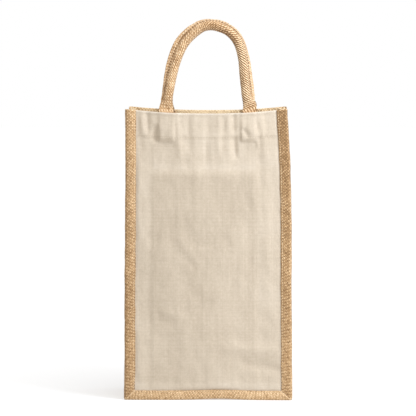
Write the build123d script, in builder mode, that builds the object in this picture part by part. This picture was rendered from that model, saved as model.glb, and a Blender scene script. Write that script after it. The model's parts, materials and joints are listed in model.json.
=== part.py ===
"""Wine gift bag for a pair of bottles: a cotton canvas front framed by jute binding, a jute back,
jute side gussets and base, an inner divider and two padded rope handles.

Origin: centre of the underside. +X is to the right seen from the front, -Y is the front, +Z is up.
All sizes are in millimetres.
"""

import os

from build123d import *

# ---- driving dimensions ----
WIDTH = 202.0  # over the bindings
DEPTH = 102.0  # over the bindings
HEIGHT = 351.0  # standing surface to the top edge
CLOTH = 1.0  # one layer of canvas or jute
BINDING = 1.5  # folded jute strip, pressed flat
FRAME_SIDE = 12.5  # binding seen on the front, along the sides
FRAME_BOTTOM = 11.5  # binding seen on the front, along the bottom
RETURN = 12.0  # how far a binding runs back round the corner
CORNER = 2.5  # outer radius of a binding's fold
HEM = 33.0  # top edge folded inside
HEM_ROW = 31.5  # stitch row below the top edge
THREAD = 0.3  # how far a stitch row stands proud
ROW_WIDTH = 0.8
ROW_INSET = 1.5  # stitch row from the edge it holds

HANDLE_D = 11.0  # jute cover round the rope
ROPE_D = 8.5
FLANGE = 4.0  # seam allowance beyond the tube
FLANGE_T = 2.0
FOOT_X = 49.5  # leg centre lines from the middle, where they bend
HANDLE_RISE = 100.0  # top edge to the middle of the tube at the top of the loop
SHOULDER = (41.5, 66.0)  # route corner where a leg starts to turn in, from the top edge
CROWN_X = 24.5  # half the level run at the top of the route
LEG_RADIUS = 85.0
CROWN_RADIUS = 37.5
TAB_X = 50.5
TAB_WIDTH = 18.0
TAB_T = 2.8  # flattened handle end
TAB_DEPTH = 38.0  # sewn below the top edge
PIVOT_RISE = 4.0  # where the handle bends, above the top edge
NECK_WIDTH = 16.0
NECK_FLAT = 6.0  # flat stretch above the bend
NECK_LENGTH = 20.0  # the tube is round from here
BEND_ROOM = 1.5  # left free under the bend, so that the handle folds right out

DIVIDER_X = -4.0
DIVIDER_FLAP = 65.0  # from the dividing wall to a flap's free edge
DIVIDER_DROP = 75.0  # top edge of the bag to the top of the divider

# ---- derived ----
FACE_Y = DEPTH / 2 - BINDING  # outer face of the front and back panels
SIDE_X = WIDTH / 2 - BINDING  # outer face of the side gussets
FLOOR_Z = BINDING + CLOTH  # upper face of the base
PIVOT_Y = FACE_Y - 2 * CLOTH - TAB_T / 2
PIVOT_Z = HEIGHT + PIVOT_RISE

os.makedirs("parts", exist_ok=True)


def save(builder, label):
    """Labels a finished piece and writes its file."""
    builder.part.label = label
    export_step(builder.part, f"parts/{label}.step")


def slab(x, y, z):
    """Adds a block that spans the ranges x, y and z to the part being built."""
    spans = [sorted(r) for r in (x, y, z)]
    with Locations(tuple((low + high) / 2 for low, high in spans)):
        Box(*(high - low for low, high in spans))


# ---- panels ----


def face_panel(side, label):
    """Front (side -1) or back (+1) panel, one layer with its top edge folded inside."""
    outer = side * FACE_Y
    inner = outer - side * CLOTH
    hem_half = SIDE_X - CLOTH
    with BuildPart() as panel:
        slab((-SIDE_X, SIDE_X), (outer, inner), (BINDING, HEIGHT))
        slab((-hem_half, hem_half), (inner, inner - side * CLOTH), (HEIGHT - HEM, HEIGHT))
        fold = panel.edges().filter_by(Axis.X).group_by(Axis.Z)[-1].sort_by(Axis.Y)
        fillet(fold[0] if side < 0 else fold[-1], 0.8)
    save(panel, label)


def side_gusset(side, label):
    """Left (side -1) or right (+1) gusset, one layer with its top edge folded inside."""
    outer = side * SIDE_X
    inner = outer - side * CLOTH
    half = FACE_Y - CLOTH
    hem_half = half - CLOTH
    with BuildPart() as gusset:
        slab((outer, inner), (-half, half), (FLOOR_Z, HEIGHT))
        slab((inner, inner - side * CLOTH), (-hem_half, hem_half), (HEIGHT - HEM, HEIGHT))
    save(gusset, label)


def base_gusset():
    """Base: sewn in above the bindings' return, it sags onto the standing surface between them."""
    half = FACE_Y - CLOTH
    sag_half = DEPTH / 2 - RETURN
    with BuildPart() as base:
        slab((-SIDE_X, SIDE_X), (-half, half), (BINDING, FLOOR_Z))
        slab((-SIDE_X, SIDE_X), (-sag_half, sag_half), (0, BINDING))
    save(base, "base_gusset")


# ---- bindings ----


def mitre(side):
    """Plane of the corner mitre, facing up and out, on the left (side -1) or right (+1)."""
    corner = (side * WIDTH / 2, 0, 0)
    return Plane(origin=corner, x_dir=(0, 1, 0), z_dir=(side * FRAME_BOTTOM, 0, FRAME_SIDE))


def angle_section(reach_face):
    """Corners of a binding's section: its outer corner is at the origin and it opens to +X and +Y."""
    return [
        (0, 0),
        (reach_face, 0),
        (reach_face, BINDING),
        (BINDING, BINDING),
        (BINDING, RETURN),
        (0, RETURN),
    ]


def side_binding(side, face, label):
    """Upright strip folded round a corner: side is -1 left or +1 right, face is -1 front or +1 back."""
    corner = (side * WIDTH / 2, face * DEPTH / 2, 0)
    plane = Plane(origin=corner, x_dir=(-side, 0, 0), z_dir=(0, 0, side * face))
    with BuildPart() as strip:
        with BuildSketch(plane) as section:
            with BuildLine():
                Polyline(*angle_section(FRAME_SIDE), close=True)
            make_face()
            fillet(section.vertices().sort_by_distance(Vertex(0, 0, 0))[0], CORNER)
        extrude(amount=HEIGHT * side * face)
        split(bisect_by=mitre(side), keep=Keep.TOP)
    save(strip, label)


def bottom_binding(face, label):
    """Strip folded under the bottom edge of the front (face -1) or back (+1), mitred at both ends."""
    corner = (0, face * DEPTH / 2, 0)
    plane = Plane(origin=corner, x_dir=(0, 0, 1), z_dir=(face, 0, 0))
    with BuildPart() as strip:
        with BuildSketch(plane) as section:
            with BuildLine():
                Polyline(*angle_section(FRAME_BOTTOM), close=True)
            make_face()
            fillet(section.vertices().sort_by_distance(Vertex(0, 0, 0))[0], CORNER)
        extrude(amount=WIDTH / 2, both=True)
        for side in (-1, 1):
            split(bisect_by=mitre(side), keep=Keep.BOTTOM)
    save(strip, label)


def binding_stitching(face, label):
    """Rows of thread along the inner edge of one frame, and along its two returns on the gussets."""
    outer = face * DEPTH / 2
    proud = outer + face * THREAD
    row_x = WIDTH / 2 - FRAME_SIDE + ROW_INSET
    row_z = FRAME_BOTTOM - ROW_INSET
    return_y = face * (DEPTH / 2 - RETURN + ROW_INSET)
    half = ROW_WIDTH / 2
    with BuildPart() as rows:
        slab((-row_x, row_x), (outer, proud), (row_z - half, row_z + half))
        for side in (-1, 1):
            x = side * row_x
            slab((x - half, x + half), (outer, proud), (row_z + 1, HEIGHT - 1))
            edge = side * WIDTH / 2
            slab((edge, edge + side * THREAD), (return_y - half, return_y + half), (4, HEIGHT - 1))
    save(rows, label)


def hem_stitching(label, along_x):
    """Row of thread that holds the hem, on the outside of an opposite pair of panels."""
    z = (HEIGHT - HEM_ROW - ROW_WIDTH / 2, HEIGHT - HEM_ROW + ROW_WIDTH / 2)
    with BuildPart() as rows:
        for side in (-1, 1):
            if along_x:
                reach = WIDTH / 2 - FRAME_SIDE
                slab((-reach, reach), (side * FACE_Y, side * (FACE_Y + THREAD)), z)
            else:
                reach = DEPTH / 2 - RETURN
                slab((side * SIDE_X, side * (SIDE_X + THREAD)), (-reach, reach), z)
    save(rows, label)


# ---- divider ----


def divider_channel(side, label):
    """Half of the divider: a wall across the bag with a flap along the front and one along the back."""
    half = FACE_Y - CLOTH
    wall = DIVIDER_X + side * CLOTH
    edge = DIVIDER_X + side * DIVIDER_FLAP
    top = HEIGHT - DIVIDER_DROP
    with BuildPart() as channel:
        slab((DIVIDER_X, wall), (-half, half), (FLOOR_Z, top))
        for face in (-1, 1):
            slab((DIVIDER_X, edge), (face * half, face * (half - CLOTH)), (FLOOR_Z, top))
    save(channel, label)


def divider_stitching():
    """Two upright rows that join the two halves of the divider."""
    wall = DIVIDER_X - CLOTH
    row_y = FACE_Y - CLOTH - 10
    with BuildPart() as rows:
        for face in (-1, 1):
            y = (face * row_y - ROW_WIDTH / 2, face * row_y + ROW_WIDTH / 2)
            slab((wall - THREAD, wall), y, (FLOOR_Z + 4, HEIGHT - DIVIDER_DROP - 3))
    save(rows, "divider_stitching")


# ---- handles ----

LEG = Vector(SHOULDER[0] - FOOT_X, 0, SHOULDER[1] - PIVOT_RISE).normalized()


def leg_point(side, face, along):
    """Point on a leg's centre line, measured from the bend towards the loop."""
    return (side * (FOOT_X + LEG.X * along), face * PIVOT_Y, PIVOT_Z + LEG.Z * along)


def leg_plane(side, face, along):
    """Plane square to a leg, facing up the leg, with its X axis pointing away from the loop."""
    up = (side * LEG.X, 0, LEG.Z)
    out = (side * LEG.Z, 0, -LEG.X)
    return Plane(origin=leg_point(side, face, along), x_dir=out, z_dir=up)


def loop_route(face):
    """Route of the tube from the left leg, over the crown, to the right leg."""
    y = face * PIVOT_Y
    shoulder = (SHOULDER[0], y, HEIGHT + SHOULDER[1])
    crown = (CROWN_X, y, HEIGHT + HANDLE_RISE)
    right = [Vector(leg_point(1, face, NECK_LENGTH)), Vector(shoulder), Vector(crown)]
    left = [Vector(-p.X, p.Y, p.Z) for p in right]
    radii = [LEG_RADIUS, CROWN_RADIUS, CROWN_RADIUS, LEG_RADIUS]
    return FilletPolyline(*left, *reversed(right), radius=radii)


def handle_cover(face, label):
    """Jute tube with its outer seam flange, flattened into a neck where each leg bends."""
    with BuildPart() as cover:
        with BuildLine() as route:
            loop_route(face)
        with BuildSketch(leg_plane(-1, face, NECK_LENGTH)):
            Circle(HANDLE_D / 2)
            with Locations((HANDLE_D / 2 + FLANGE / 2 - 1, 0)):
                Rectangle(FLANGE + 2, FLANGE_T)
            Circle(ROPE_D / 2, mode=Mode.SUBTRACT)
        sweep(path=route.wires()[0])
        for side in (-1, 1):
            knee = leg_plane(side, face, NECK_FLAT)
            with BuildSketch(knee):
                Rectangle(NECK_WIDTH, TAB_T)
            with BuildSketch(leg_plane(side, face, NECK_LENGTH)):
                Circle(HANDLE_D / 2)
            loft()
            with BuildSketch(knee):
                Rectangle(NECK_WIDTH, TAB_T)
            extrude(amount=-1.2 * NECK_FLAT)
        split(bisect_by=Plane.XY.offset(PIVOT_Z), keep=Keep.TOP)
        for side in (-1, 1):
            with Locations(Location(leg_point(side, face, 0), (0, 90, 0))):
                Cylinder(TAB_T / 2, NECK_WIDTH)
    save(cover, label)


def handle_core(face, label):
    """Cotton rope that fills the round stretch of the cover."""
    with BuildPart() as core:
        with BuildLine() as route:
            loop_route(face)
        with BuildSketch(leg_plane(-1, face, NECK_LENGTH)):
            Circle(ROPE_D / 2)
        sweep(path=route.wires()[0])
    save(core, label)


def handle_stitching(face, label):
    """Thread along both sides of the flange, in the valley beside the tube."""
    seam = HANDLE_D / 2 + 1.2
    with BuildPart() as rows:
        with BuildLine() as route:
            loop_route(face)
        with BuildSketch(leg_plane(-1, face, NECK_LENGTH)):
            with Locations((seam, FLANGE_T / 2 + THREAD / 2), (seam, -FLANGE_T / 2 - THREAD / 2)):
                Rectangle(ROW_WIDTH, THREAD)
        sweep(path=route.wires()[0])
    save(rows, label)


def handle_tab(side, face, label):
    """Flattened end of a handle's cover, sewn to the inside of the hem below the bend."""
    outer = face * (PIVOT_Y + TAB_T / 2)
    inner = face * (PIVOT_Y - TAB_T / 2)
    x = side * TAB_X
    top = PIVOT_Z - TAB_T / 2 - BEND_ROOM
    with BuildPart() as tab:
        slab((x - TAB_WIDTH / 2, x + TAB_WIDTH / 2), (outer, inner), (HEIGHT - TAB_DEPTH, top))
        fillet(tab.edges().filter_by(Axis.Y).group_by(Axis.Z)[0], 2)
    save(tab, label)


# ---- the bag ----

base_gusset()
hem_stitching("panel_hem_stitching", along_x=True)
hem_stitching("gusset_hem_stitching", along_x=False)
divider_stitching()
for side, side_name in ((-1, "left"), (1, "right")):
    side_gusset(side, f"{side_name}_gusset")
    divider_channel(side, f"divider_{side_name}_half")
for face, face_name in ((-1, "front"), (1, "back")):
    face_panel(face, f"{face_name}_panel")
    bottom_binding(face, f"{face_name}_bottom_binding")
    binding_stitching(face, f"{face_name}_binding_stitching")
    handle_cover(face, f"{face_name}_handle_cover")
    handle_core(face, f"{face_name}_handle_rope")
    handle_stitching(face, f"{face_name}_handle_stitching")
    for side, side_name in ((-1, "left"), (1, "right")):
        side_binding(side, face, f"{face_name}_{side_name}_binding")
        handle_tab(side, face, f"{face_name}_handle_{side_name}_tab")
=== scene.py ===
"""Wine gift bag: canvas front in a jute frame, jute sides, back and base, a divider and padded handles."""
import json
import math

import bpy
import numpy as np
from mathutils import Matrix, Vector, noise


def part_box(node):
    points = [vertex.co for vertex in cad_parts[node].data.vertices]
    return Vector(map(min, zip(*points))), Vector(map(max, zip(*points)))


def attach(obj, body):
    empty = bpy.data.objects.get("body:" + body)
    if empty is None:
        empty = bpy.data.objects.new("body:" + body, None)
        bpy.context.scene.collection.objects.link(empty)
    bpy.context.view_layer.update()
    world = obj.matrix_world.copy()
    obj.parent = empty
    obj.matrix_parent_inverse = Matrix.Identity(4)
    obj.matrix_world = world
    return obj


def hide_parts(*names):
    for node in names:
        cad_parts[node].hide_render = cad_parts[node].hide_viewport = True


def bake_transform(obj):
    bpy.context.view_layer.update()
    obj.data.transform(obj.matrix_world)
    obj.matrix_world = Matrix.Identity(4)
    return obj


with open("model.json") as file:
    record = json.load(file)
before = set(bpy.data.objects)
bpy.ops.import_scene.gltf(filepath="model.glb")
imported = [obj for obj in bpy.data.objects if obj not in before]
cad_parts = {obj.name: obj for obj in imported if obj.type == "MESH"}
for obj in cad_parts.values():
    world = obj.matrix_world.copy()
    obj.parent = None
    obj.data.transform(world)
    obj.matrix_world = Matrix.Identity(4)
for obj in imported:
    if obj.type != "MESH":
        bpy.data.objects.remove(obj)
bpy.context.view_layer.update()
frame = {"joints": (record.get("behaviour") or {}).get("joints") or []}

MM = 0.001

# ---- places read from the frame, in metres ----
panel_lo, panel_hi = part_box("front_panel")
strip_lo, strip_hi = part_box("front_right_binding")
bottom_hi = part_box("front_bottom_binding")[1]
gusset_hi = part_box("right_gusset")[1]
base_lo, base_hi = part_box("base_gusset")
tab_lo, tab_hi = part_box("front_handle_right_tab")
flap_left_lo, flap_left_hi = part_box("divider_left_half")
flap_right_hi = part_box("divider_right_half")[1]

HALF_W = strip_hi[0]
HALF_D = -strip_lo[1]
TOP = panel_hi[2]
SIDE_X = panel_hi[0]
FACE_Y = -panel_lo[1]
FRAME_SIDE = strip_hi[0] - strip_lo[0]
FRAME_BOTTOM = bottom_hi[2]
RETURN = strip_hi[1] - strip_lo[1]
FLOOR_Z = base_hi[2]
TAB_X = (tab_lo[0] + tab_hi[0]) / 2
TAB_HALF = (tab_hi[0] - tab_lo[0]) / 2
TAB_END = tab_lo[2]
WALL_X = flap_left_hi[0]
FLAP_TOP = flap_left_hi[2]
PIVOT = Vector(next(j["pos_m"] for j in frame["joints"] if j["name"] == "front_handle_fold"))

# ---- cloth facts ----
CANVAS_T = 0.85 * MM
JUTE_T = 0.9 * MM
STRIP_T = 0.7 * MM
HEM = 33 * MM
HEM_ROW = TOP - 31.5 * MM
YARN = 1.9 * MM  # jute cloth and strips, middle to middle
RIB = 2.3 * MM  # the same in the handles' coarser cover
CANVAS_YARN = 0.55 * MM
PITCH = 3.2 * MM  # stitch to stitch
THREAD_R = 0.30 * MM
FINE_THREAD_R = 0.26 * MM
ROW_INSET = 1.8 * MM  # stitch row from a strip's inner edge
GRID = 1.5 * MM  # mesh step of the panels and gussets
STRIP_GRID = YARN / 2  # mesh step of the strips


def smooth(lo, hi, x):
    """0 below lo, 1 above hi, and a smooth step between."""
    t = np.clip((np.asarray(x, float) - lo) / (hi - lo), 0, 1)
    return t * t * (3 - 2 * t)


def hump(centre, width, x):
    return np.exp(-(((np.asarray(x, float) - centre) / width) ** 2))


def as_points(*parts):
    return np.stack(np.broadcast_arrays(*parts), axis=-1)


def smooth_mm(lo, hi, x):
    return smooth(lo * MM, hi * MM, x)


def rough(points, scale, seed, octaves=3):
    """Smooth noise in -1..1 at points, whose features are about scale metres wide."""
    shift = Vector((seed * 7.3, seed * 3.1, seed * 5.7))
    flat = np.asarray(points, float).reshape(-1, 3)
    out = [noise.fractal(Vector(p) / scale + shift, 0.8, 2.1, octaves) for p in flat]
    return np.array(out).reshape(np.shape(points)[:-1])


# ---- the soft shape that every sewn piece shares ----


def soften(points):
    """The standing bag: its sides lean in towards the top, and its top edge dips between the corners."""
    p = np.array(points, float)
    x, y, z = p[..., 0], p[..., 1], p[..., 2]
    left_in = 0.7 * MM * smooth_mm(8, 45, z) + 1.5 * MM * smooth_mm(80, 300, z)
    right_in = (
        0.3 * MM * smooth_mm(10, 50, z)
        + 0.7 * MM * smooth_mm(60, 140, z)
        + 1.6 * MM * smooth_mm(200, 290, z)
        + 3.2 * MM * smooth_mm(273, 348, z)
        + 0.7 * MM * smooth(TOP - 20 * MM, TOP, z)
    )
    t = (x + HALF_W) / (2 * HALF_W)
    edge = np.clip(np.abs(x) / SIDE_X, 0, 1)
    wall = smooth(0.6, 0.95, np.abs(y) / FACE_Y)
    dip = np.where(y < 0, 5.2 * MM, 4.4 * MM) * (1 - edge**2.2)
    side_dip = 2.5 * MM * (1 - np.clip(np.abs(y) / FACE_Y, 0, 1) ** 4) * smooth(0.9, 1, edge)
    lift = smooth(TOP - 70 * MM, TOP, z)
    off_floor = 1.6 * MM * hump(13 * MM, 32 * MM, x) * wall * (y < 0) * (1 - smooth_mm(5, 40, z))
    p[..., 0] = x + left_in * smooth(0.45, 0, t) - right_in * smooth(0.6, 0.96, t)
    p[..., 2] = z - lift * (dip * wall + side_dip) + off_floor
    return p


def face_swell(x, z, side):
    """How far the front (side -1) or back (1) cloth stands out from its flat place."""

    def lumps(squash, scale, seed, octaves=3):
        spots = as_points(x, np.zeros_like(x) + side, z * squash)
        return rough(spots, scale, seed + side, octaves)

    inner_x = SIDE_X - FRAME_SIDE
    inside = smooth_mm(0, 3.5, inner_x + 1 * MM - np.abs(x))
    inside = inside * smooth_mm(0, 4, z - FRAME_BOTTOM + 1 * MM)
    swell = 0.5 * MM + 1.3 * MM * over_flap(x, z)
    belly = smooth_mm(-95, -30, x) * (1 - smooth_mm(-5, 92, x))
    swell += 3.2 * MM * belly * smooth(0, 0.1, z)
    swell += 1.5 * MM * lumps(0.45, 34 * MM, 2)
    swell += 0.30 * MM * lumps(0.8, 9 * MM, 9)
    top = z - TOP
    near_hem = smooth_mm(-75, -33, top)
    swell += 0.8 * MM * near_hem * lumps(0.15, 16 * MM, 21, 2)
    swell += 0.45 * MM * hump(HEM_ROW, 4 * MM, z) * lumps(0.5, 3.4 * MM, 27, 1)
    swell -= 0.35 * MM * hump(HEM_ROW, 1.0 * MM, z)
    swell += 0.5 * MM * smooth_mm(-34, -31, top) + 0.45 * MM * hump(TOP - 1 * MM, 1.6 * MM, z)
    for tab in (-1, 1):
        reach = smooth_mm(-3, 1.5, TAB_HALF - np.abs(x - tab * TAB_X))
        press = smooth_mm(-1, 5.5, z - TAB_END) * (1 - 0.7 * smooth_mm(-24, -3, top))
        swell += 3.8 * MM * reach * press
    for fold in CREASES if side < 0 else ():
        swell += crease(x, z, *fold)
    return swell * inside


def over_flap(x, z):
    """1 where a divider flap lies behind the cloth, 0 elsewhere."""
    left = smooth_mm(-3, 5, x - flap_left_lo[0])
    right = smooth_mm(-5, 7, flap_right_hi[0] - x)
    return left * right * smooth_mm(-5, 6, FLAP_TOP - z)


# What the canvas keeps from being folded, in millimetres: (from, to, width, depth). Each end is x and the
# height from the top edge. A depth above 0 is a ridge.
CREASES = [
    ((-81, -4), (-79, -28), 4.5, 1.7),
    ((-75, -2), (-74, -26), 3.6, -2.1),
    ((-64, -18), (-64, -36), 4.6, -2.0),
    ((31, -3), (31, -24), 3.4, -2.6),
    ((31, -30), (33, -56), 3.4, -2.8),
    ((25, -2), (26, -50), 4.5, 0.6),
    ((44, -20), (50, -31), 3.2, -2.0),
    ((62, -24), (62, -44), 2.4, 1.2),
    ((-37, -8), (-33, -60), 4.0, 1.6),
    ((-24, -8), (-22, -50), 3.6, -1.2),
    ((2, -8), (-4, -70), 4.4, -1.2),
    ((14, -6), (12, -46), 3.4, 0.7),
    ((20, -6), (19, -24), 2.4, -1.0),
    ((68, -8), (73, -62), 5.0, 1.2),
    ((-37, -152), (-12, -186), 5.0, 0.8),
    ((-43, -162), (-24, -188), 5.5, -0.4),
    ((-32, -133), (-8, -164), 7.5, -0.6),
    ((20, -286), (86, -292), 8.0, 1.6),
    ((42, -306), (88, -314), 6.0, -1.6),
    ((-64, -246), (-44, -262), 6.0, -0.7),
    ((-52, -244), (-28, -252), 5.0, 0.5),
    ((50, -100), (50, -190), 5.0, -0.6),
    ((70, -90), (72, -250), 9.0, 1.2),
]


def crease(x, z, start, end, width, depth):
    """A ridge or valley along the line from start to end, fading at its ends."""
    a, b = np.array(start) * MM, np.array(end) * MM
    along = b - a
    length = np.hypot(*along)
    along = along / length
    dx, dz = x - a[0], z - TOP - a[1]
    s = (dx * along[0] + dz * along[1]) / length
    off = dx * along[1] - dz * along[0]
    fade = smooth(-0.25, 0.2, s) * (1 - smooth(0.8, 1.25, s))
    return depth * MM * fade * np.exp(-((off / (width * MM)) ** 2))


# ---- mesh builders ----


def point_values(mesh, name, values):
    attribute = mesh.attributes.new(name, "FLOAT", "POINT")
    attribute.data.foreach_set("value", np.asarray(values, np.float32).ravel())


def new_object(name, verts, faces, uvs, tone=None):
    """uvs has a row for each vertex, or one for each corner of each face. tone says how light it is at each
    point: its own colour, and on the cloth painted light and shade too.
    """
    mesh = bpy.data.meshes.new(name)
    mesh.from_pydata([tuple(v) for v in verts], [], faces)
    layer = mesh.uv_layers.new(name="weave")
    uvs = np.asarray(uvs, np.float32)
    if len(uvs) != len(mesh.loops):
        loops = np.empty(len(mesh.loops), np.int64)
        mesh.loops.foreach_get("vertex_index", loops)
        uvs = uvs[loops]
    layer.data.foreach_set("uv", uvs.ravel())
    if tone is not None:
        point_values(mesh, "tone", tone)
    mesh.polygons.foreach_set("use_smooth", np.ones(len(mesh.polygons), bool))
    mesh.update()
    obj = bpy.data.objects.new(name, mesh)
    bpy.context.scene.collection.objects.link(obj)
    return obj


def grid_normals(grid):
    du = np.gradient(grid, axis=0)
    dv = np.gradient(grid, axis=1)
    n = np.cross(du, dv)
    return n / np.maximum(np.linalg.norm(n, axis=-1, keepdims=True), 1e-12)


def cloth(name, grid, thickness, flat_u, flat_v, tone=None):
    """A closed thin cloth round the middle surface grid, shape (nu, nv, 3). flat_u and flat_v are its flat
    coordinates, which the weave follows, in millimetres."""
    nu, nv = grid.shape[:2]
    n = grid_normals(grid) * thickness / 2
    verts = np.concatenate([(grid + n).reshape(-1, 3), (grid - n).reshape(-1, 3)])
    uv = as_points(flat_u, flat_v).reshape(-1, 2)
    uvs = np.concatenate([uv, uv])
    i, j = np.meshgrid(np.arange(nu - 1), np.arange(nv - 1), indexing="ij")
    a = (i * nv + j).ravel()
    quads = np.stack([a, a + nv, a + nv + 1, a + 1], axis=-1)
    under = quads[:, ::-1] + nu * nv
    rim = []
    ring = [k * nv for k in range(nu)]
    ring += [(nu - 1) * nv + k for k in range(1, nv)]
    ring += [k * nv + nv - 1 for k in range(nu - 2, -1, -1)]
    ring += list(range(nv - 2, 0, -1))
    for here, there in zip(ring, ring[1:] + ring[:1]):
        rim.append((there, here, here + nu * nv, there + nu * nv))
    tones = None if tone is None else np.tile(np.broadcast_to(tone, grid.shape[:2]).ravel(), 2)
    return new_object(name, verts, quads.tolist() + under.tolist() + rim, uvs, tones)


def arc_lengths(line):
    steps = np.linalg.norm(np.diff(line, axis=0), axis=1)
    return np.concatenate([[0], np.cumsum(steps)])


def rounded(points, radii, step):
    """A 2-D line through points with its corners rounded, sampled about every step."""
    out = [np.array(points[0], float)]
    for before, corner, after, r in zip(points, points[1:], points[2:], radii):
        b, c, a = (np.array(q, float) for q in (before, corner, after))
        to_b, to_a = (b - c) / np.linalg.norm(b - c), (a - c) / np.linalg.norm(a - c)
        half = math.acos(np.clip(to_b @ to_a, -1, 1)) / 2
        cut = r / math.tan(half)
        start, end = c + to_b * cut, c + to_a * cut
        centre = c + (to_b + to_a) / np.linalg.norm(to_b + to_a) * r / math.sin(half)
        out.append(start)
        sweep = math.pi - 2 * half
        count = max(3, int(sweep * 4))
        a0 = math.atan2(*(start - centre)[::-1])
        a1 = math.atan2(*(end - centre)[::-1])
        turn = (a1 - a0 + math.pi) % (2 * math.pi) - math.pi
        for k in range(1, count + 1):
            angle = a0 + turn * k / count
            out.append(centre + r * np.array([math.cos(angle), math.sin(angle)]))
    out.append(np.array(points[-1], float))
    line = [out[0]]
    for q in out[1:]:
        gap = np.linalg.norm(q - line[-1])
        pieces = max(1, int(round(gap / step)))
        start = line[-1]
        line += [start + (q - start) * k / pieces for k in range(1, pieces + 1)]
    return np.array(line)


def dress(obj, body, slot, material, *nodes):
    """Puts a piece on its body, hides the parts it replaces, and gives it its finish."""
    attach(obj, body)
    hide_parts(*nodes)
    obj.data.materials.append(material)


# ---- finishes ----


def set_inputs(node, **values):
    for name, value in values.items():
        node.inputs[name.replace("_", " ")].default_value = value


class Finish:
    """A procedural material. It follows the UV layer "weave", whose unit is a millimetre of cloth."""

    def __init__(self, name):
        self.material = bpy.data.materials.new(name)
        self.material.use_nodes = True
        self.tree = self.material.node_tree
        self.tree.nodes.clear()
        self.uv = self.node("ShaderNodeUVMap", uv_map="weave").outputs["UV"]
        # tone: the own colour, with painted light and shade on the cloth
        self.tone = self.node("ShaderNodeAttribute", attribute_name="tone").outputs["Fac"]
        self.ribbed = self.node("ShaderNodeAttribute", attribute_name="ribbed").outputs["Fac"]

    def node(self, kind, **settings):
        made = self.tree.nodes.new(kind)
        for key, value in settings.items():
            setattr(made, key, value)
        return made

    def put(self, socket, value):
        if isinstance(value, bpy.types.NodeSocket):
            self.tree.links.new(value, socket)
        else:
            socket.default_value = value

    def math(self, operation, *values):
        made = self.node("ShaderNodeMath", operation=operation)
        for socket, value in zip(made.inputs, values):
            self.put(socket, value)
        return made.outputs[0]

    def add(self, *values):
        total = values[0]
        for value in values[1:]:
            total = self.math("ADD", total, value)
        return total

    def times(self, a, b):
        return self.math("MULTIPLY", a, b)

    def vector(self, x, y, z=0.0):
        made = self.node("ShaderNodeCombineXYZ")
        for socket, value in zip(made.inputs, (x, y, z)):
            self.put(socket, value)
        return made.outputs[0]

    def split(self, vector):
        made = self.node("ShaderNodeSeparateXYZ")
        self.put(made.inputs[0], vector)
        return made.outputs[0], made.outputs[1]

    def cloud(self, vector, scale, detail=2.0, roughness=0.55):
        """Noise round 0, about -0.5 to 0.5."""
        made = self.node("ShaderNodeTexNoise", noise_dimensions="3D")
        self.put(made.inputs["Vector"], vector)
        set_inputs(made, Scale=scale, Detail=detail, Roughness=roughness)
        return self.math("SUBTRACT", made.outputs[0], 0.5)

    def chance(self, vector):
        """A random number round 0 for each whole-number cell."""
        made = self.node("ShaderNodeTexWhiteNoise", noise_dimensions="3D")
        self.put(made.inputs["Vector"], vector)
        return self.math("SUBTRACT", made.outputs["Value"], 0.5)

    def ramp(self, value, stops):
        made = self.node("ShaderNodeValToRGB")
        self.put(made.inputs[0], value)
        bar = made.color_ramp
        while len(bar.elements) < len(stops):
            bar.elements.new(0.5)
        for element, (place, colour) in zip(bar.elements, stops):
            element.position = place
            element.color = (*linear(colour), 1)
        return made.outputs[0]

    def weave(self, yarn, wander):
        """Plain weave: (over, pit, x cell, y cell, u, v). over is -1 on yarns across and 1 on the others."""
        x, y = self.split(self.uv)
        drift = self.vector(self.times(x, 0.09), self.times(y, 0.09))
        u = self.add(self.times(x, 1 / yarn), self.times(self.cloud(drift, 1.0), wander))
        v = self.add(self.times(y, 1 / yarn), self.times(self.cloud(drift, 1.7), wander))
        pi_u, pi_v = self.times(u, math.pi), self.times(v, math.pi)
        over = self.times(self.math("SINE", pi_u), self.math("SINE", pi_v))
        corner = self.times(self.math("COSINE", pi_u), self.math("COSINE", pi_v))
        pit = self.math("POWER", self.math("ABSOLUTE", corner), 5.0)
        return over, pit, self.math("FLOOR", u), self.math("FLOOR", v), u, v

    def end(self, colour, height, bump, roughness, sheen):
        lump = self.node("ShaderNodeBump")
        set_inputs(lump, Strength=1.0, Distance=bump)
        self.put(lump.inputs["Height"], height)
        skin = self.node("ShaderNodeBsdfPrincipled")
        self.put(skin.inputs["Base Color"], colour)
        set_inputs(skin, Roughness=roughness, Specular_IOR_Level=0.22)
        set_inputs(skin, Sheen_Weight=sheen, Sheen_Roughness=0.6)
        self.put(skin.inputs["Normal"], lump.outputs[0])
        out = self.node("ShaderNodeOutputMaterial")
        self.tree.links.new(skin.outputs[0], out.inputs[0])
        return self.material


def linear(colour):
    """An sRGB colour, 0 to 255, as linear values."""
    c = np.array(colour, float) / 255
    return tuple(np.where(c <= 0.04045, c / 12.92, ((c + 0.055) / 1.055) ** 2.4))


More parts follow.
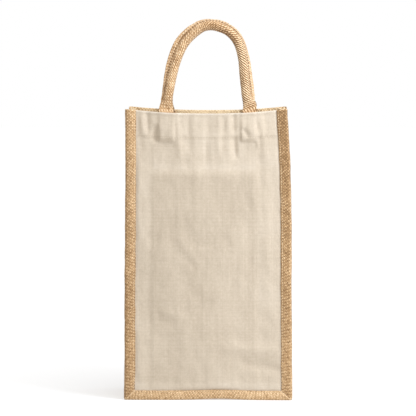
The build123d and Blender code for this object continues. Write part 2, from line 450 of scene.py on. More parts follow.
def jute(name, yarn, stops, contrast, rib=0.0, wander=1.6, bump=0.00045):
    """Coarse jute: its yarns differ in colour, and fibres streak them. rib darkens lines between warps."""
    f = Finish(name)
    over, pit, cell_x, cell_y, u, v = f.weave(yarn, wander)
    cell = f.chance(f.vector(cell_x, cell_y, 1.0))
    warp = f.chance(f.vector(cell_x, 0.0, 2.0))
    weft = f.chance(f.vector(0.0, cell_y, 3.0))
    streaks_up = f.cloud(f.vector(f.times(u, 6.0), f.times(v, 0.7)), 1.0, 3.0)
    streaks_across = f.cloud(f.vector(f.times(u, 0.7), f.times(v, 6.0), 4.0), 1.0, 3.0)
    side = f.math("MULTIPLY_ADD", over, 0.5, 0.5)
    streaks = f.add(f.times(streaks_up, side), f.times(streaks_across, f.math("SUBTRACT", 1.0, side)))
    x, y = f.split(f.uv)
    tone = f.cloud(f.vector(f.times(x, 0.035), f.times(y, 0.035)), 1.0, 3.0)
    value = f.add(
        0.5,
        f.tone,
        f.times(over, 0.26 * contrast),
        f.times(cell, 0.34 * contrast),
        f.times(warp, 0.12),
        f.times(weft, 0.09),
        f.times(streaks, 0.45),
        f.times(tone, 0.25),
        f.times(pit, -0.5 * contrast),
        f.times(f.times(f.math("COSINE", f.times(u, 2 * math.pi)), -rib), f.ribbed),
    )
    height = f.add(f.times(over, 0.35), f.times(pit, -0.9), f.times(cell, 0.35), f.times(streaks, 0.9))
    return f.end(f.ramp(value, stops), height, bump, 0.88, 0.12)


def canvas(name, yarn, stops):
    """Unbleached cotton canvas: a fine weave with slubs, and soft cloudy tone."""
    f = Finish(name)
    over, pit, cell_x, cell_y, u, v = f.weave(yarn, 1.2)
    warp = f.chance(f.vector(cell_x, 0.0, 2.0))
    weft = f.chance(f.vector(0.0, cell_y, 3.0))
    x, y = f.split(f.uv)
    slub_across = f.cloud(f.vector(f.times(x, 0.05), f.times(y, 0.9)), 1.0, 3.0, 0.65)
    slub_up = f.cloud(f.vector(f.times(x, 0.9), f.times(y, 0.05), 5.0), 1.0, 3.0, 0.65)
    mottle = f.cloud(f.vector(f.times(x, 0.32), f.times(y, 0.32), 8.0), 1.0, 4.0, 0.7)
    tone = f.cloud(f.vector(f.times(x, 0.018), f.times(y, 0.018), 9.0), 1.0, 2.0)
    value = f.add(
        0.5,
        f.tone,
        f.times(over, 0.06),
        f.times(warp, 0.06),
        f.times(weft, 0.05),
        f.times(slub_across, 0.11),
        f.times(slub_up, 0.08),
        f.times(mottle, 0.36),
        f.times(tone, 0.30),
        f.times(pit, -0.18),
    )
    height = f.add(
        f.times(over, 0.25),
        f.times(pit, -0.5),
        f.times(slub_across, 0.5),
        f.times(slub_up, 0.4),
        f.times(mottle, 1.0),
        f.times(warp, 0.25),
    )
    return f.end(f.ramp(value, stops), height, 0.00022, 0.85, 0.08)


def spun(name, stops, bump):
    """Thread or rope yarn: fine twisted fibres."""
    f = Finish(name)
    x, y = f.split(f.uv)
    lay = f.add(f.times(x, 0.9), f.times(y, 1.6))
    fibres = f.cloud(f.vector(f.times(lay, 3.0), f.times(x, 0.25)), 1.0, 3.0, 0.6)
    twist = f.math("SINE", f.times(lay, 2.4))
    value = f.add(0.5, f.tone, f.times(fibres, 0.6), f.times(twist, 0.12))
    return f.end(f.ramp(value, stops), f.add(f.times(twist, 0.5), fibres), bump, 0.8, 0.1)


CANVAS = canvas(
    "canvas_front",
    CANVAS_YARN / MM,
    [(0.1, (163, 147, 126)), (0.5, (196, 181, 160)), (0.9, (216, 205, 190))],
)
BINDING_JUTE = jute(
    "jute_strip",
    YARN / MM,
    [(0.0, (122, 91, 56)), (0.3, (172, 136, 94)), (0.55, (210, 176, 134)), (0.95, (242, 216, 177))],
    0.68,
)
PANEL_JUTE = jute(
    "jute_cloth",
    YARN / MM,
    [(0.0, (118, 88, 54)), (0.3, (168, 134, 90)), (0.55, (206, 174, 130)), (0.95, (238, 212, 170))],
    0.9,
)
HANDLE_JUTE = jute(
    "jute_cover",
    RIB / MM,
    [(0.0, (102, 68, 36)), (0.3, (165, 126, 84)), (0.55, (207, 171, 129)), (0.95, (234, 208, 170))],
    0.64,
    rib=0.56,
    wander=1.0,
)
THREAD = spun(
    "sewing_thread",
    [(0.1, (190, 160, 118)), (0.5, (232, 204, 164)), (0.75, (232, 210, 178)), (1.0, (196, 184, 166))],
    0.0001,
)
COTTON = spun(
    "cotton_rope",
    [(0.1, (190, 176, 150)), (0.6, (228, 218, 198)), (0.9, (240, 233, 218))],
    0.0002,
)


# ---- panels and gussets ----

CLOTH_GAP = 1.2 * MM
GUSSET_LOW = 0.5 * MM


def hemmed_profile(low):
    """Middle of a cloth that runs up the outside, over the top edge and down the inside, as (depth, z)."""
    outside, inside = 0.45 * MM, 1.55 * MM
    bend = (inside - outside) / 2
    fold_z = TOP - CANVAS_T / 2 - bend
    up = [(outside, z) for z in np.linspace(low, fold_z, int((fold_z - low) / GRID) + 1)]
    over = [
        (outside + bend * (1 - math.cos(a)), fold_z + bend * math.sin(a))
        for a in np.linspace(0, math.pi, 7)[1:-1]
    ]
    down = [(inside, z) for z in np.linspace(fold_z, TOP - HEM, int(HEM / GRID))]
    return np.array(up + over + down)


def gusset_bow(y, z, side):
    """How far a gusset bends into the bag: a soft fold down its middle, deeper towards the top."""
    half = FACE_Y - RETURN + 1.5 * MM
    across = np.cos(np.clip(np.abs(y) / half, 0, 1) * math.pi / 2) ** 2
    depth = 4.5 * MM * smooth_mm(15, 240, z) + 0.6 * MM
    ridge = 1.8 * MM * hump(0, 5 * MM, y) * smooth_mm(150, 330, z)
    spots = as_points(y, np.zeros_like(y) + 3 * side, z * 0.5)
    ripple = 0.8 * MM * rough(spots, 26 * MM, 31 + side) * across**0.5
    return depth * across + ridge + ripple


def hemmed_tone_and_painted_light(u, z, depth):
    """How light a panel or gusset is, from its hem, its top edge and the divider flap behind it: darker at
    the hem row and over the flap, with painted light on the inside of the hem, a painted highlight along the
    top fold with painted shade under it, a painted highlight above the flap and painted light near the
    bottom.
    """
    outer = 1 - smooth_mm(0.5, 0.9, depth)
    # painted light on the inside of the hem near the top, strongest between the handles, where the cloth lies
    # in shade
    painted_light_inner_hem = smooth_mm(0.3, 0.9, depth) * smooth(TOP - 14 * MM, TOP - 4 * MM, z)
    tone = (0.15 + 0.30 * smooth_mm(50, 36, np.abs(u))) * painted_light_inner_hem
    # painted highlight on the top fold and a painted shade line just under it
    fold = 0.15 * smooth(TOP - 1.8 * MM, TOP - 0.9 * MM, z) - 0.10 * hump(TOP - 3.2 * MM, 1.2 * MM, z)
    tone += outer * fold
    flap = 0.04 + 0.06 * smooth_mm(50, 130, z)
    tone -= outer * (0.12 * hump(HEM_ROW, 1.1 * MM, z) + flap * over_flap(u, z))
    # painted highlight on the ridge just above the flap's top edge
    painted_highlight_above_flap = hump(FLAP_TOP + 5 * MM, 4 * MM, z) * over_flap(u, FLAP_TOP - 20 * MM + 0 * z)
    tone += 0.08 * outer * painted_highlight_above_flap
    # the last term is painted light on the cloth just above the bottom strip, which lies in shade there
    return tone + 0.10 * outer * (1 - smooth_mm(3, 16, z - FRAME_BOTTOM))


def hemmed_sheet(name, half, low, place):
    """A panel or gusset. place(u, z, depth) puts a point of it, u across the cloth, in the bag at rest."""
    line = hemmed_profile(low)
    across = np.linspace(-1, 1, int(2 * half / GRID) + 1)
    inner = smooth_mm(0.6, 1.4, line[:, 0])
    u = across[:, None] * (half - CLOTH_GAP * inner)[None, :]
    z = np.broadcast_to(line[:, 1], u.shape)
    depth = np.broadcast_to(line[:, 0], u.shape)
    grid = soften(place(u, z, depth))
    flat_v = arc_lengths(line) / MM
    # the cloth's own colour with painted light and shade
    tone = hemmed_tone_and_painted_light(u, z, depth)
    obj = cloth(name, grid, CANVAS_T, across[:, None] * half / MM, flat_v[None, :], tone)
    return obj, (2 * half, flat_v[-1] * MM)


def face_place(side):
    def place(u, z, depth):
        return as_points(u, side * (FACE_Y - depth + face_swell(u, z, side)), z)

    return place


def gusset_place(side):
    def place(u, z, depth):
        return as_points(side * (SIDE_X - depth - gusset_bow(u, z, side)), u, z)

    return place


for side, label, slot_name, finish in ((-1, "front", "canvas", CANVAS), (1, "back", "jute", PANEL_JUTE)):
    panel, flat = hemmed_sheet(f"{label}_panel_cloth", SIDE_X, panel_lo[2], face_place(side))
    dress(panel, "bag", slot_name, finish, f"{label}_panel")
for side, label in ((-1, "left"), (1, "right")):
    gusset, flat = hemmed_sheet(f"{label}_gusset_cloth", gusset_hi[1], GUSSET_LOW, gusset_place(side))
    dress(gusset, "bag", "jute", PANEL_JUTE, f"{label}_gusset")

# ---- base ----

base_x = np.linspace(base_lo[0], base_hi[0], 120)
base_y = np.linspace(base_lo[1], base_hi[1], 62)
bx, by = np.meshgrid(base_x, base_y, indexing="ij")
sag = smooth(RETURN + 4 * MM, RETURN - 3 * MM, HALF_D - np.abs(by))
rise = 0.25 * MM * (1 + rough(as_points(bx, by, 0), 30 * MM, 40))
bz = (FLOOR_Z - JUTE_T / 2) * sag + (JUTE_T / 2 + rise) * (1 - sag)
base = cloth("base_cloth", soften(as_points(bx, by, bz)), JUTE_T, bx / MM, by / MM)
dress(base, "bag", "jute", PANEL_JUTE, "base_gusset")

# ---- bindings ----

TUCKED = 1.15 * MM  # from the outer face to the middle of the turned-in layer
TUCK_END = 4 * MM  # where the turned-in layer stops short of the corner
FOLD_R = 0.38 * MM
EDGE_R = 2.2 * MM
MITRE = FRAME_BOTTOM / FRAME_SIDE
MITRE_GAP = 0.05 * MM


def strip_section(reach):
    """A strip folded round an edge, as (a, b) from the outer corner: a along the face, b along the return."""
    out = STRIP_T / 2
    corners = [
        (TUCK_END, TUCKED),
        (reach - out, TUCKED),
        (reach - out, out),
        (out, out),
        (out, RETURN - out),
        (TUCKED, RETURN - out),
        (TUCKED, TUCK_END),
    ]
    return rounded(corners, [FOLD_R, FOLD_R, EDGE_R, FOLD_R, FOLD_R], STRIP_GRID)


def strip_relief(d, along, reach):
    """How far the outer layer stands proud at d from the corner: puffed, and drawn in at the stitch row."""
    row = reach - ROW_INSET
    t = np.clip((d - 0.8 * MM) / (row - 0.8 * MM), 0, 1)
    puff = 0.75 * MM * np.sin(t * math.pi) ** 0.8
    draw = (0.12 + 0.26 * between_stitches(along)) * MM * hump(row, 0.6 * MM, d)
    pressed = 0.35 * MM * smooth(row + 0.3 * MM, row + 1.2 * MM, d)
    return puff - draw - pressed


def between_stitches(along):
    return 0.5 + 0.5 * np.cos(2 * math.pi * along / PITCH)


# How light a strip is at its start, middle and end, upwards or to the right for a bottom one: painted shade,
# darkest towards the right strip's top.
STRIP_PAINTED_SHADE = {"left": (-0.17, -0.16, -0.07), "right": (-0.16, -0.22, -0.37), "bottom": (-0.05, -0.01, 0.0)}


def binding(name, along_place, length, reach, seed, kind):
    """A folded strip. along_place(a, b, flat_a, share) puts a point of its section in the bag: flat_a is a
    without relief, and share is 0 to 1 along the strip."""
    section = strip_section(reach)
    arc = arc_lengths(section)
    share = np.linspace(0, 1, int(length / STRIP_GRID) + 1)
    a = section[:, 0][:, None]
    b = section[:, 1][:, None]
    along = share[None, :] * length
    outer = (np.minimum(a, b) < 0.7 * MM) | (np.maximum(a, b) < 2.8 * MM)
    d = np.maximum(a, b) + 0 * along
    own_reach = np.where(a > b, reach, RETURN)
    tangent = np.gradient(section, axis=0)
    tangent /= np.linalg.norm(tangent, axis=1, keepdims=True)
    na, nb = -tangent[:, 1][:, None], tangent[:, 0][:, None]
    spots = as_points(arc[:, None], along, seed)
    weave = np.sin(math.pi * arc[:, None] / YARN) * np.sin(math.pi * along / YARN)
    to_mitre = np.minimum(along, length - along) if kind == "bottom" else along
    proud = strip_relief(d, along, own_reach) * (0.85 + 0.5 * rough(spots, 22 * MM, seed))
    proud = proud * smooth_mm(-0.3, 2.4, to_mitre)
    proud = proud + 0.11 * MM * weave + 0.12 * MM * rough(spots, 5 * MM, seed + 3, 2)
    proud = np.where(outer, proud, 0)
    wave = 0.45 * MM * rough(as_points(along[0], 0, seed), 16 * MM, seed + 5)
    widen = wave[None, :] * smooth_mm(5, 11, d)
    a_soft = a + na * proud + widen * (a > b)
    b_soft = b + nb * proud + widen * (b >= a)
    grid = soften(along_place(a_soft, b_soft, a, share[None, :]))
    # painted shade along the strip
    tone = np.interp(share, [0, 0.5, 1], STRIP_PAINTED_SHADE[kind])[None, :] + 0 * a
    row = own_reach - ROW_INSET
    # painted shade in the stitch holes and dimples between stitches
    tone -= 0.18 * between_stitches(along) * hump(row, 0.6 * MM, d) * outer
    # painted highlight on the strip's lip between the stitch row and its inner edge
    tone += 0.12 * smooth(row + 0.4 * MM, own_reach - 0.4 * MM, d) * outer
    # painted highlight along the mitre's fold, strongest on the bottom strip's ends
    painted_mitre_highlight = 1 - smooth_mm(0.4, 1.7, to_mitre)
    tone += (0.35 if kind == "bottom" else 0.12) * painted_mitre_highlight * (a > b)
    if kind != "bottom":
        # lighter at the strip's top end
        lighter_top_end = smooth(length - 2.0 * MM, length - 0.6 * MM, along)
        # painted highlight on the right strip's rounded outer edge, painted shade on the left strip's
        outer_edge_painted_light = (1 - smooth_mm(0.5, 3, d)) * outer
        tone += 0.2 * lighter_top_end + (0.10 if kind == "right" else -0.14) * outer_edge_painted_light
    obj = cloth(name, grid, STRIP_T, arc[:, None] / MM, along / MM, tone)
    dress(obj, "bag", "jute_binding", BINDING_JUTE, name.replace("_strip", "_binding"))


def upright_place(side, face):
    def place(a, b, flat_a, share):
        start = flat_a * MITRE + MITRE_GAP
        z = start + (TOP - start) * share
        return as_points(side * (HALF_W - a), face * (HALF_D - b), z)

    return place


def bottom_place(face):
    def place(a, b, flat_a, share):
        half = HALF_W - flat_a / MITRE - MITRE_GAP
        x = (2 * share - 1) * half
        return as_points(x, face * (HALF_D - b), np.maximum(a, STRIP_T / 2))

    return place


for face, face_label in ((-1, "front"), (1, "back")):
    name = f"{face_label}_bottom_strip"
    binding(name, bottom_place(face), 2 * HALF_W, FRAME_BOTTOM, 60 + face, "bottom")
    for side, side_label in ((-1, "left"), (1, "right")):
        name = f"{face_label}_{side_label}_strip"
        seed = 70 + 3 * side + face
        binding(name, upright_place(side, face), TOP, FRAME_SIDE, seed, side_label)

# ---- stitches ----

RING = 8  # points round a thread
# A stitch's rings: (place from its middle to its end, share of the thread's radius).
STITCH_RINGS = ((-1.0, 0.25), (-0.8, 0.8), (-0.4, 1.0), (0.0, 1.0), (0.4, 1.0), (0.8, 0.8), (1.0, 0.25))
ON_STRIP = 0.12 * MM  # thread's middle above a strip
ON_PANEL = 0.05 * MM


def stitches(name, rows, radius, nodes, body="bag", pale=0.0):
    """Rows of thread. Each row is (path, normal, start, end), and path(s) gives points."""
    verts, faces, uvs, count = [], [], [], 0
    t, fat = np.array(STITCH_RINGS).T
    angle = np.arange(RING) * 2 * math.pi / RING
    for path, normal, start, end in rows:
        number = int((end - start) / PITCH)
        spare = (end - start - number * PITCH) / 2
        mids = start + spare + (np.arange(number) + 0.5) * PITCH
        s = mids[:, None] + t[None, :] * 0.40 * PITCH
        place = path(s)
        tangent = path(s + 0.1 * MM) - path(s - 0.1 * MM)
        tangent /= np.linalg.norm(tangent, axis=-1, keepdims=True)
        out = np.broadcast_to(np.asarray(normal, float), place.shape)
        across = np.cross(tangent, out)
        across /= np.linalg.norm(across, axis=-1, keepdims=True)
        place = place - out * (0.75 * radius * t[None, :, None] ** 2)
        ring = place[:, :, None, :] + radius * fat[None, :, None, None] * (
            across[:, :, None, :] * np.cos(angle)[:, None] + out[:, :, None, :] * np.sin(angle)[:, None]
        )
        verts.append(ring.reshape(-1, 3))
        uvs.append(as_points(s[:, :, None] / MM, angle * radius / MM).reshape(-1, 2))
        rings = len(STITCH_RINGS)
        for k in range(number):
            first = count + k * rings * RING
            for j in range(rings - 1):
                for i in range(RING):
                    p, q = first + j * RING + i, first + j * RING + (i + 1) % RING
                    faces.append((p, q, q + RING, p + RING))
            faces.append(tuple(first + i for i in reversed(range(RING))))
            faces.append(tuple(first + (rings - 1) * RING + i for i in range(RING)))
        count += number * rings * RING
    obj = new_object(name, np.concatenate(verts), faces, np.concatenate(uvs), np.full(count, pale))
    dress(obj, body, "thread", THREAD, *nodes)


def strip_row(side, face, kind):
    """One row of stitches on a strip: on its face, on its return, or along the bottom."""
    if kind == "bottom":
        reach = FRAME_BOTTOM
        d = reach - ROW_INSET

        def path(s):
            y = face * (HALF_D + strip_relief(d, s + HALF_W, reach) + ON_STRIP)
            return soften(as_points(s, y, d))

        half = HALF_W - d / MITRE
        return path, (0, face, 0), -half, half
    reach = FRAME_SIDE if kind == "face" else RETURN
    d = reach - ROW_INSET

    def path(s):
        lift = strip_relief(d, s, reach) + ON_STRIP
        if kind == "face":
            x, y = side * (HALF_W - d), face * (HALF_D + lift)
        else:
            x, y = side * (HALF_W + lift), face * (HALF_D - d)
        return soften(as_points(x, y, s))

    start = d * MITRE if kind == "face" else 4 * MM
    return path, (0, face, 0) if kind == "face" else (side, 0, 0), start, TOP - 1.5 * MM


for face, face_label in ((-1, "front"), (1, "back")):
    rows = [strip_row(0, face, "bottom")]
    rows += [strip_row(side, face, kind) for side in (-1, 1) for kind in ("face", "return")]
    stitches(f"{face_label}_strip_stitches", rows, THREAD_R, [f"{face_label}_binding_stitching"])


def panel_hem_row(side):
    def path(s):
        z = 0 * s + HEM_ROW
        y = side * (FACE_Y + face_swell(s, z, side) + ON_PANEL)
        return soften(as_points(s, y, z))

    reach = HALF_W - FRAME_SIDE
    return path, (0, side, 0), -reach, reach


def gusset_hem_row(side):
    def path(s):
        z = 0 * s + HEM_ROW
        x = side * (SIDE_X - gusset_bow(s, z, side) + ON_PANEL)
        return soften(as_points(x, s, z))

    reach = HALF_D - RETURN
    return path, (side, 0, 0), -reach, reach


rows = [panel_hem_row(-1), panel_hem_row(1)]
stitches("panel_hem_stitches", rows, FINE_THREAD_R, ["panel_hem_stitching"], pale=0.5)
rows = [gusset_hem_row(-1), gusset_hem_row(1)]
stitches("gusset_hem_stitches", rows, FINE_THREAD_R, ["gusset_hem_stitching"])

# ---- divider ----

FLAP_DEPTH = 2.0 * MM  # outer face of a panel to the middle of a flap
WALL_STEP = 0.5 * MM  # middle of the double wall to the middle of one of its layers
FLAP_TURN = 2.5 * MM


def wall_bulge(y, z):
    """How far the divider's wall stands to the side of its flat place: its top edge is loose."""
    spots = as_points(0, y, z * 0.5)
    free = np.cos(np.clip(y / (FACE_Y - 2 * MM), -1, 1) * math.pi / 2)
    return (1.8 * MM * rough(spots, 45 * MM, 51) + 1.5 * MM * smooth_mm(60, 260, z)) * free


for side, label, edge in ((-1, "left", flap_left_lo[0]), (1, "right", flap_right_hi[0])):
    wall = WALL_X + side * WALL_STEP
    reach = FACE_Y - FLAP_DEPTH
    corners = [(edge, -reach), (wall, -reach), (wall, reach), (edge, reach)]
    route = rounded(corners, [FLAP_TURN, FLAP_TURN], GRID)
    rise = np.linspace(FLOOR_Z + 0.3 * MM, FLAP_TOP, 180)
    x = np.broadcast_to(route[:, 0][:, None], (len(route), len(rise)))
    y = np.broadcast_to(route[:, 1][:, None], x.shape)
    z = np.broadcast_to(rise[None, :], x.shape)
    on_face = smooth(reach - 6 * MM, reach - 0.5 * MM, np.abs(y))
    out = np.where(y < 0, -face_swell(x, z, -1), face_swell(x, z, 1)) * on_face
    grid = as_points(x + wall_bulge(y, z) * (1 - on_face), y + out, z)
    arc = arc_lengths(route)
    half = cloth(f"divider_{label}_cloth", soften(grid), CANVAS_T, arc[:, None] / MM, rise[None, :] / MM)
    dress(half, "bag", "jute", PANEL_JUTE, f"divider_{label}_half")


def divider_row(y_row):
    def path(s):
        return soften(as_points(WALL_X - 2 * WALL_STEP + wall_bulge(y_row, s), y_row, s))

    return path, (-1, 0, 0), FLOOR_Z + 4 * MM, FLAP_TOP - 3 * MM


row_y = FACE_Y - 11 * MM
stitches("divider_stitches", [divider_row(-row_y), divider_row(row_y)], THREAD_R, ["divider_stitching"])

# ---- handles ----

TUBE_R = 5.5 * MM
TAB_HALF_T = 1.4 * MM
FLANGE = 4.0 * MM
FLANGE_T = 2.0 * MM
HOLLOW_R = 4.55 * MM
HOLLOW_LOW = 20 * MM  # the rope and its hollow start this far above the top edge
ROPE_R = 3.55 * MM
STRAND = 0.85 * MM  # how far a strand stands out of the rope
ROPE_LAY = 26 * MM
LEAN = math.radians(42)  # the cover's warps to the handle's line
BACK_LEAN = 2.6 * MM
BACK_LOWER = 1.2 * MM
HANDLE_STEP = 0.6 * MM
TUBE_POINTS = 58  # round the tube, without its flange
TURN = np.linspace(0, 2 * math.pi, 25)  # round the rope and its hollow

# The front loop's middle line, in millimetres: x, height above the top edge, and its flange's width there.
LOOP = [
    (-50.5, -38, 0), (-50.5, -22, 0), (-50.5, -8, 0), (-50.4, 0, 0), (-48.7, 10, 2.4),
    (-47.2, 18, 2.7), (-44.4, 33, 3.6), (-41.0, 48, 4.6), (-36.2, 62.6, 5.4), (-29.0, 77.9, 5.6),
    (-17.6, 91, 4.2), (-3.6, 99.8, 2.0), (5, 100.5, 1.2), (15.0, 98.0, 2.4), (31.0, 87.0, 2.6),
    (39.4, 70.2, 1.6), (42.4, 54, 2.6), (43.4, 39.5, 3.6), (45.0, 25.3, 4.0), (47.0, 11.2, 3.8),
    (50, 2, 0), (50.5, -8, 0), (50.5, -22, 0), (50.5, -38, 0),
]


def smooth_line(points, step):
    """A natural cubic through points, resampled evenly: its points, their arc lengths and widths."""
    p = np.array(points, float)
    t = arc_lengths(p[:, :2])
    h = np.diff(t)
    n = len(p)
    system, right = np.zeros((n, n)), np.zeros((n, 2))
    system[0, 0] = system[-1, -1] = 1
    for k in range(1, n - 1):
        system[k, k - 1 : k + 2] = h[k - 1], 2 * (h[k - 1] + h[k]), h[k]
        right[k] = 6 * ((p[k + 1, :2] - p[k, :2]) / h[k] - (p[k, :2] - p[k - 1, :2]) / h[k - 1])
    m = np.linalg.solve(system, right)
    fine = np.linspace(0, t[-1], 4000)
    k = np.clip(np.searchsorted(t, fine) - 1, 0, n - 2)
    u, w = (fine - t[k])[:, None], (t[k + 1] - fine)[:, None]
    hk = h[k][:, None]
    line = (m[k] * w**3 + m[k + 1] * u**3) / (6 * hk)
    line += (p[k, :2] / hk - m[k] * hk / 6) * w + (p[k + 1, :2] / hk - m[k + 1] * hk / 6) * u
    length = arc_lengths(line)
    even = np.linspace(0, length[-1], int(length[-1] / step) + 1)
    widths = np.interp(even, np.interp(t, fine, length), p[:, 2])
    return np.stack([np.interp(even, length, line[:, i]) for i in (0, 1)], axis=-1), even, widths


def tube_outline():
    """Round the tube and its flange: (angle, o, y, flange_o, flange_y), with o away from the loop. The last
    two carry a point out to the flange."""
    root = math.asin(FLANGE_T / 2 / TUBE_R)
    round_it = np.linspace(root, 2 * math.pi - root, TUBE_POINTS)
    rows = [(a, TUBE_R * math.cos(a), TUBE_R * math.sin(a), 0.0, 0.0) for a in round_it]
    rim = FLANGE_T / 2
    tip = TUBE_R + FLANGE - rim
    start = TUBE_R * math.cos(root)
    seam = [(o, -rim) for o in np.linspace(start, tip, 6)[1:]]
    round_tip = np.linspace(-math.pi / 2, math.pi / 2, 7)[1:-1]
    seam += [(tip + rim * math.cos(a), rim * math.sin(a)) for a in round_tip]
    seam += [(o, rim) for o in np.linspace(tip, start, 6)[:-1]]
    for k, (o, y) in enumerate(seam):
        a = -root + 2 * root * (k + 1) / (len(seam) + 1)
        base = (TUBE_R * math.cos(a), TUBE_R * math.sin(a))
        rows.append((a, *base, o - base[0], y - base[1]))
    return np.array(rows)


def outward(line):
    """Unit vectors across the line, away from the inside of the loop."""
    tangent = np.gradient(line, axis=0)
    tangent /= np.linalg.norm(tangent, axis=1, keepdims=True)
    return np.stack([-tangent[:, 1], tangent[:, 0]], axis=1)


def closed_tube(rings, uvs, flip=False):
    """Verts, faces and corner UVs of a tube through rings of points, shape (n, k, 3), capped at both ends.
    uvs has a column more than the rings, so that the weave meets itself cleanly."""
    n, k = rings.shape[:2]
    faces, corners = [], []
    for i in range(n - 1):
        for j in range(k):
            a, b = i * k + j, i * k + (j + 1) % k
            faces.append((a, a + k, b + k, b))
            corners.append((uvs[i, j], uvs[i + 1, j], uvs[i + 1, j + 1], uvs[i, j + 1]))
    first, last = n * k, n * k + 1
    for j in range(k):
        faces.append((first, j, (j + 1) % k))
        corners.append((uvs[0, j],) * 3)
        faces.append((last, (n - 1) * k + (j + 1) % k, (n - 1) * k + j))
        corners.append((uvs[-1, j],) * 3)
    if flip:
        faces = [f[::-1] for f in faces]
        corners = [c[::-1] for c in corners]
    verts = np.concatenate([rings.reshape(-1, 3), [rings[0].mean(0), rings[-1].mean(0)]])
    return verts, faces, [np.array(q) for c in corners for q in c]


class Loop:
    """The line of one handle, face -1 for the front and 1 for the back."""

    def __init__(self, face):
        route = np.array(LOOP) * MM
        if face > 0:
            # this one leans a little towards the left and stands a little lower
            up = smooth_mm(-14, 2, route[:, 1])
            route[:, 0] -= BACK_LEAN * up * smooth_mm(48, -45, route[:, 0])
            route[:, 1] -= BACK_LOWER * smooth_mm(20, 100, route[:, 1])
        self.face = face
        self.to_face = np.array([1, -face, 1])  # turns what is made for the front to its own face
        self.line, self.arc, self.widths = smooth_line(route, HANDLE_STEP)
        self.away = outward(self.line)
        self.height = self.line[:, 1]
        self.cored = np.flatnonzero(self.height > HOLLOW_LOW)

    def rings(self, steps, o, y):
        """Rings round the line at some of its steps: o is away from the loop, and y is backwards."""
        x = self.line[steps, 0][:, None] + self.away[steps, 0][:, None] * o
        z = TOP + self.height[steps][:, None] + self.away[steps, 1][:, None] * o
        return as_points(x, PIVOT[1] + y, z)

    def core(self, steps, radius):
        """Round rings, turned to the handle's own face."""
        return self.rings(steps, radius * np.cos(TURN[:-1]), radius * np.sin(TURN[:-1])) * self.to_face


def cover_sections(h, seam, outline):
    """Each section of a cover as (o, y): flat in the hem, and round with a flange above it."""
    c, s = np.cos(outline[:, 0])[None, :], np.sin(outline[:, 0])[None, :]
    half_o = TUBE_R + 3.5 * MM * (1 - smooth_mm(-3, 14, h))
    half_y = TAB_HALF_T + (TUBE_R - TAB_HALF_T) * smooth_mm(0, 16, h)
    power = 2 + 4 * (1 - smooth_mm(-2, 10, h))
    o = half_o * np.sign(c) * np.abs(c) ** (2 / power) + seam * outline[:, 3]
    y = half_y * np.sign(s) * np.abs(s) ** (2 / power) + np.minimum(seam, 1) * outline[:, 4]
    return o, y


def girths(o, y):
    """Distance round each section from its first point, and back to it."""
    around = as_points(o, y)
    steps = np.linalg.norm(np.diff(np.concatenate([around, around[:, :1]], axis=1), axis=1), axis=-1)
    return np.concatenate([np.zeros((len(steps), 1)), np.cumsum(steps, axis=1)], axis=1)


def bias_weave(arc, o, girth, outline):
    """The cover's weave as (u, v), cut on the bias and measured from the front's middle."""
    front = np.flatnonzero((outline[:, 0] > math.pi) & (outline[:, 3] == 0))
    middle = [np.interp(0, o_row[front], g_row[front]) for o_row, g_row in zip(o, girth)]
    to_front = girth - np.array(middle)[:, None]
    u = arc[:, None] * math.cos(LEAN) - to_front * math.sin(LEAN)
    v = arc[:, None] * math.sin(LEAN) + to_front * math.cos(LEAN)
    return u, v


def flange_root(girth, seam):
    """1 where the flange leaves the tube, 0 away from there."""
    here = girth[:, :-1]
    to_root = np.minimum(np.abs(here - girth[:, TUBE_POINTS - 1][:, None]), here)
    to_root = np.minimum(to_root, girth[:, -1:] - here)
    return np.exp(-((to_root / (0.9 * MM)) ** 2)) * np.minimum(seam, 1)


def ring_normals(rings):
    du = np.gradient(rings, axis=0)
    dv = np.roll(rings, -1, axis=1) - np.roll(rings, 1, axis=1)
    normal = np.cross(dv, du)
    normal /= np.maximum(np.linalg.norm(normal, axis=-1, keepdims=True), 1e-12)
    inward = (normal * (rings - rings.mean(1, keepdims=True))).sum() < 0
    return -normal if inward else normal


def sewn_in(rings, h, face):
    """The cover's flat ends follow the cloth that holds them."""
    bent = rings[..., 1] + face * face_swell(rings[..., 0], rings[..., 2], face)
    moved = soften(as_points(rings[..., 0], bent, rings[..., 2]))
    sewn = 1 - smooth_mm(-7, 3, h)
    return rings + (moved - rings) * sewn[..., None]


def cover_painted_light(x, h, o, seam, root, on_flange):
    """Painted light and shade on a handle's cover: darker at the flange's root and on the right leg, a
    painted shadow inside the loop's right shoulder, and the flange painted lighter on the right and darker on
    the left.
    """
    to_right = smooth_mm(-42, -8, x)
    tone = (0.20 * to_right - 0.05) * on_flange * np.minimum(seam, 1) - 0.16 * root
    painted_shadow_under_crown = hump(26 * MM, 14 * MM, x) * smooth_mm(60, 75, h)
    tube_painted_shade = 0.34 * painted_shadow_under_crown * smooth_mm(3, -3, o) + 0.06 * to_right
    return tone - tube_painted_shade * (1 - on_flange)


def with_caps(values, more):
    """Values for the rings' points and the two cap points, then zeros."""
    return np.concatenate([values.ravel(), values[0, :1], values[-1, :1], np.zeros(more)])


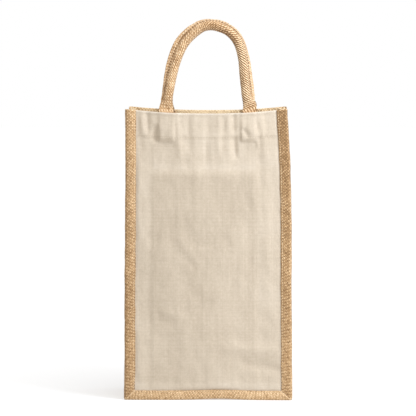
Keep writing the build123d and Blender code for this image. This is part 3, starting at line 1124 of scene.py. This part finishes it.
def handle_cover(loop, label):
    """A handle's jute cover, with the hollow that its rope fills."""
    face, x, h = loop.face, loop.line[:, :1], loop.height[:, None]
    outline = tube_outline()
    seam = (loop.widths[:, None] / FLANGE) * smooth_mm(3, 12, h)
    o, y = cover_sections(h, seam, outline)
    girth = girths(o, y)
    u, v = bias_weave(loop.arc, o, girth, outline)
    root = flange_root(girth, seam)
    on_flange = smooth(0.15 * FLANGE, 0.4 * FLANGE, outline[:, 3])[None, :]
    ribbed = 0.32 + 0.68 * smooth_mm(5, 32, x) * (1 - 0.6 * smooth_mm(72, 88, h))
    ribbed = ribbed * (1 - on_flange) * (0.4 + 0.6 * smooth_mm(0, 14, h))
    rings = loop.rings(slice(None), o, y)
    yarn = (np.sin(math.pi * u / RIB) * np.sin(math.pi * v / RIB))[:, :-1]
    ribs = np.sin(math.pi * u / RIB)[:, :-1] ** 2
    proud = (0.10 * MM * yarn + 0.30 * MM * ribs * ribbed) * (1 - 0.7 * on_flange)
    proud = proud + 0.25 * MM * rough(rings, 9 * MM, 80 + face) - 0.35 * MM * root
    rings = rings + ring_normals(rings) * (proud * smooth_mm(-4, 6, h))[..., None]
    rings = sewn_in(rings * loop.to_face, h, face)
    verts, faces, uvs = closed_tube(rings, as_points(u, v) / MM, flip=face > 0)
    hollow = loop.core(loop.cored[::3], HOLLOW_R)
    no_weave = np.zeros((len(hollow), len(TURN), 2))
    in_verts, in_faces, in_uvs = closed_tube(hollow, no_weave, flip=face < 0)
    faces += [tuple(i + len(verts) for i in f) for f in in_faces]
    # the cover's painted light and shade
    tone = with_caps(cover_painted_light(x, h, o, seam, root, on_flange), len(in_verts))
    verts = np.concatenate([verts, in_verts])
    cover = new_object(f"{label}_handle_jute", verts, faces, np.array(uvs + in_uvs), tone)
    point_values(cover.data, "ribbed", with_caps(ribbed, len(in_verts)))
    cover.data.materials.append(HANDLE_JUTE)
    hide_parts(f"{label}_handle_cover", f"{label}_handle_left_tab", f"{label}_handle_right_tab")
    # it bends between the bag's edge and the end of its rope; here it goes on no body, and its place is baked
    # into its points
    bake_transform(cover)


def rope_core(loop, label):
    """The rope in a cover: three strands laid to the right."""
    steps = loop.cored[2:-2]
    arc = loop.arc[steps][:, None]
    strand = np.cos(1.5 * (TURN[:-1] - arc * 2 * math.pi / ROPE_LAY))
    rings = loop.core(steps, ROPE_R + STRAND * np.abs(strand))
    uvs = as_points(arc, TURN * 4 * MM) / MM
    verts, faces, corner_uvs = closed_tube(rings, uvs, flip=loop.face > 0)
    rope = new_object(f"{label}_rope_core", verts, faces, np.array(corner_uvs))
    dress(rope, f"{label}_handle", "cotton_rope", COTTON, f"{label}_handle_rope")


def flange_row(loop, layer):
    """Stitches through the flange, as they show on one of its layers, -1 or 1."""
    held = (loop.widths > 2.4 * MM) & (loop.height > 16 * MM)
    first, last = loop.arc[np.flatnonzero(held)[[0, -1]]]

    def path(s):
        x, height = (np.interp(s, loop.arc, loop.line[:, i]) for i in (0, 1))
        away_x, away_z = (np.interp(s, loop.arc, loop.away[:, i]) for i in (0, 1))
        off = TUBE_R + 0.42 * np.interp(s, loop.arc, loop.widths)
        y = PIVOT[1] + layer * (FLANGE_T / 2 + 0.1 * MM)
        return as_points(x + away_x * off, y, TOP + height + away_z * off) * loop.to_face

    return path, (0, layer * -loop.face, 0), first, last


for face, label in ((-1, "front"), (1, "back")):
    loop = Loop(face)
    handle_cover(loop, label)
    rope_core(loop, label)
    rows = [flange_row(loop, -1), flange_row(loop, 1)]
    thread = [f"{label}_handle_stitching"]
    stitches(f"{label}_seam_stitches", rows, FINE_THREAD_R, thread, f"{label}_handle", pale=0.4)

# ---- floor, light and camera ----

SKY = 0.65  # how bright the studio's light is on the bag; its backdrop is white
floor_mesh = bpy.data.meshes.new("floor")
floor_mesh.from_pydata([(-8, -8, 0), (8, -8, 0), (8, 8, 0), (-8, 8, 0)], [], [(0, 1, 2, 3)])
floor = bpy.data.objects.new("floor", floor_mesh)
bpy.context.scene.collection.objects.link(floor)
paper = bpy.data.materials.new("floor_paper")
paper.use_nodes = True
skin = paper.node_tree.nodes["Principled BSDF"]
set_inputs(skin, Base_Color=(0.45, 0.45, 0.45, 1), Roughness=0.95, Specular_IOR_Level=0.0)
set_inputs(skin, Emission_Color=(1, 1, 1, 1), Emission_Strength=0.5)
floor_mesh.materials.append(paper)

world = bpy.data.worlds.new("studio")
world.use_nodes = True
background = world.node_tree.nodes["Background"]
set_inputs(background, Color=(1, 1, 1, 1))
seen = world.node_tree.nodes.new("ShaderNodeLightPath")
brightness = world.node_tree.nodes.new("ShaderNodeMapRange")
set_inputs(brightness, To_Min=SKY, To_Max=1.0)
world.node_tree.links.new(seen.outputs["Is Camera Ray"], brightness.inputs["Value"])
world.node_tree.links.new(brightness.outputs["Result"], background.inputs["Strength"])
bpy.context.scene.world = world


def aimed(name, data, place, target):
    obj = bpy.data.objects.new(name, data)
    obj.location = place
    obj.rotation_mode = "QUATERNION"
    obj.rotation_quaternion = (Vector(target) - Vector(place)).to_track_quat("-Z", "Y")
    bpy.context.scene.collection.objects.link(obj)
    return obj


high = bpy.data.lights.new("high", "SUN")
high.energy = 1.9
high.angle = math.radians(60)
aimed("high", high, (0.22, -0.30, 0.93), (0, 0, 0))
side = bpy.data.lights.new("side", "AREA")
side.shape = "SQUARE"
side.size = 0.35
side.energy = 6.8
side.color = (0.92, 1.0, 1.14)
aimed("side", side, (0.62, -0.56, 0.70), (0, -0.05, 0.2))

camera = bpy.data.cameras.new("camera")
camera.sensor_width = 36
camera.lens = 217
camera.clip_start = 0.1
camera.clip_end = 60
bpy.context.scene.camera = aimed("camera", camera, (0.06, -3.05, 0.45), (0, -0.05, 0.2324))
bpy.context.scene.view_settings.view_transform = "Standard"
